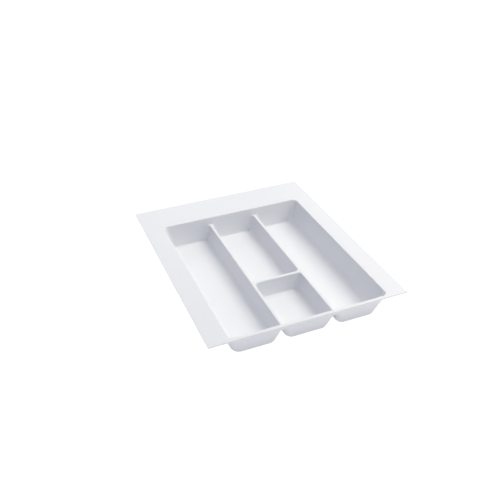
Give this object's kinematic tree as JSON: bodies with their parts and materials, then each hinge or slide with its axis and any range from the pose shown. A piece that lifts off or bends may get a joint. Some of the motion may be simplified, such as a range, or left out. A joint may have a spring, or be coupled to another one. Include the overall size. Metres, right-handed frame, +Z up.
{
  "type": "drawer organizer insert",
  "caption": "Shallow drop-in drawer tray, formed from one white plastic sheet, with long side pockets, a divided middle column and a wide flat flange.",
  "frame": {"origin": "on the drawer floor, under the centre of the tray's outline", "axes": "+Z up, +X to the right, +Y towards the back of the drawer"},
  "size_m": [0.4444, 0.5398, 0.0603],
  "materials": {
    "sheet": "satin white high-impact polystyrene, vacuum formed"
  },
  "bodies": {
    "root": {"front_flange": "sheet", "back_flange": "sheet", "left_flange": "sheet", "right_flange": "sheet", "front_wall": "sheet", "back_wall": "sheet", "left_wall": "sheet", "right_wall": "sheet", "left_divider": "sheet", "right_divider": "sheet", "cross_divider": "sheet", "left_pocket_floor": "sheet", "left_pocket_left_side": "sheet", "left_pocket_right_side": "sheet", "left_pocket_front_end": "sheet", "left_pocket_back_end": "sheet", "right_pocket_floor": "sheet", "right_pocket_left_side": "sheet", "right_pocket_right_side": "sheet", "right_pocket_front_end": "sheet", "right_pocket_back_end": "sheet", "rear_middle_pocket_floor": "sheet", "rear_middle_pocket_left_side": "sheet", "rear_middle_pocket_right_side": "sheet", "rear_middle_pocket_front_end": "sheet", "rear_middle_pocket_back_end": "sheet", "front_middle_pocket_floor": "sheet", "front_middle_pocket_left_side": "sheet", "front_middle_pocket_right_side": "sheet", "front_middle_pocket_front_end": "sheet", "front_middle_pocket_back_end": "sheet"}
  },
  "joints": []
}
